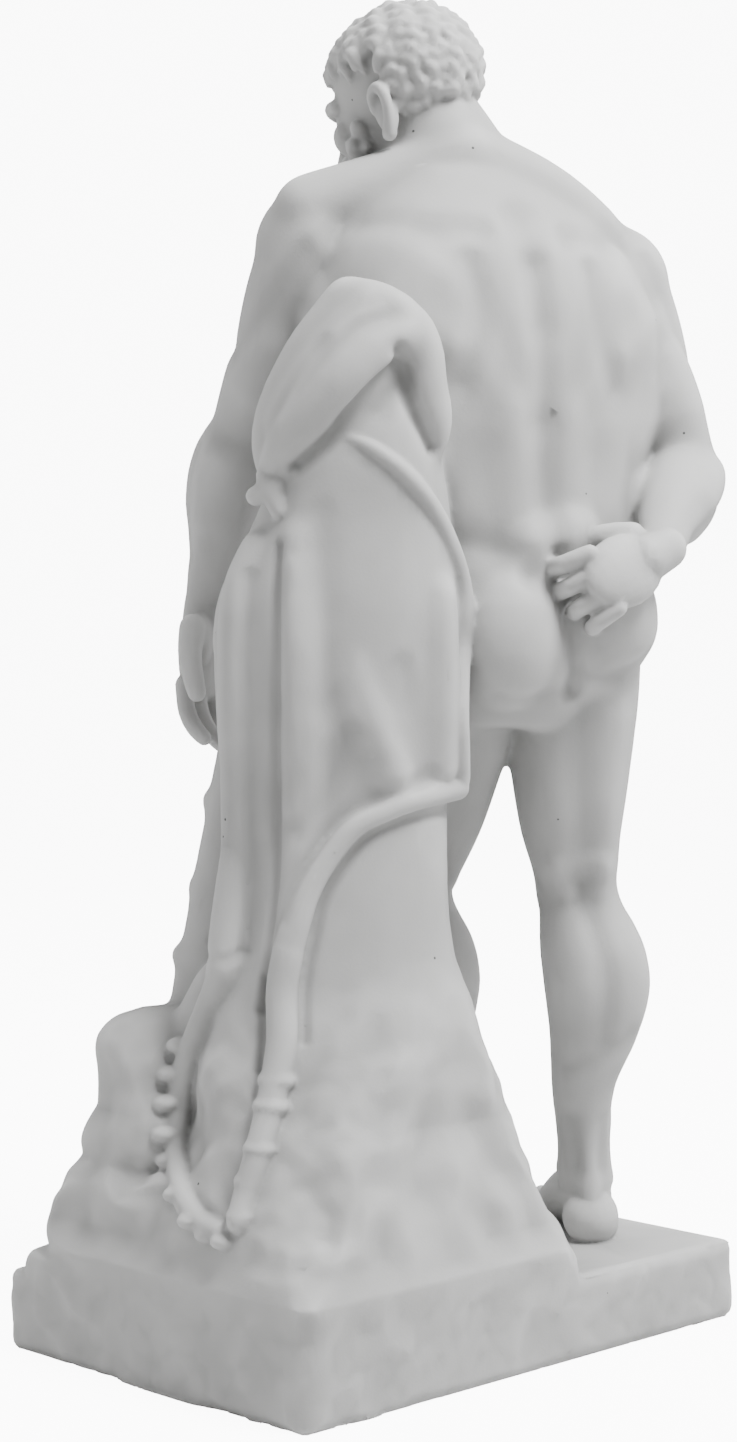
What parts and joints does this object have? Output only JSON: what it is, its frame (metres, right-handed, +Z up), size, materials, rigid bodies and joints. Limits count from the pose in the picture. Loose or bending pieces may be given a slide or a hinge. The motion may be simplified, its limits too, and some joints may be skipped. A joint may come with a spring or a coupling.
{
  "type": "hero statue",
  "caption": "Desk copy of a standing bearded hero who leans on a hide-draped support, with one hand behind his hip, on a rock and a low plinth.",
  "frame": {"origin": "middle of the plinth's flat underside", "axes": "+Z up; the plinth's long side runs along X and its front looks along -Y. The figure stands turned a half quarter on it and faces between -Y and +X."},
  "size_m": [0.1386, 0.107, 0.302],
  "materials": {
    "cast_stone": "matte, fine grain"
  },
  "bodies": {
    "root": {"statue": "cast_stone"}
  },
  "joints": []
}
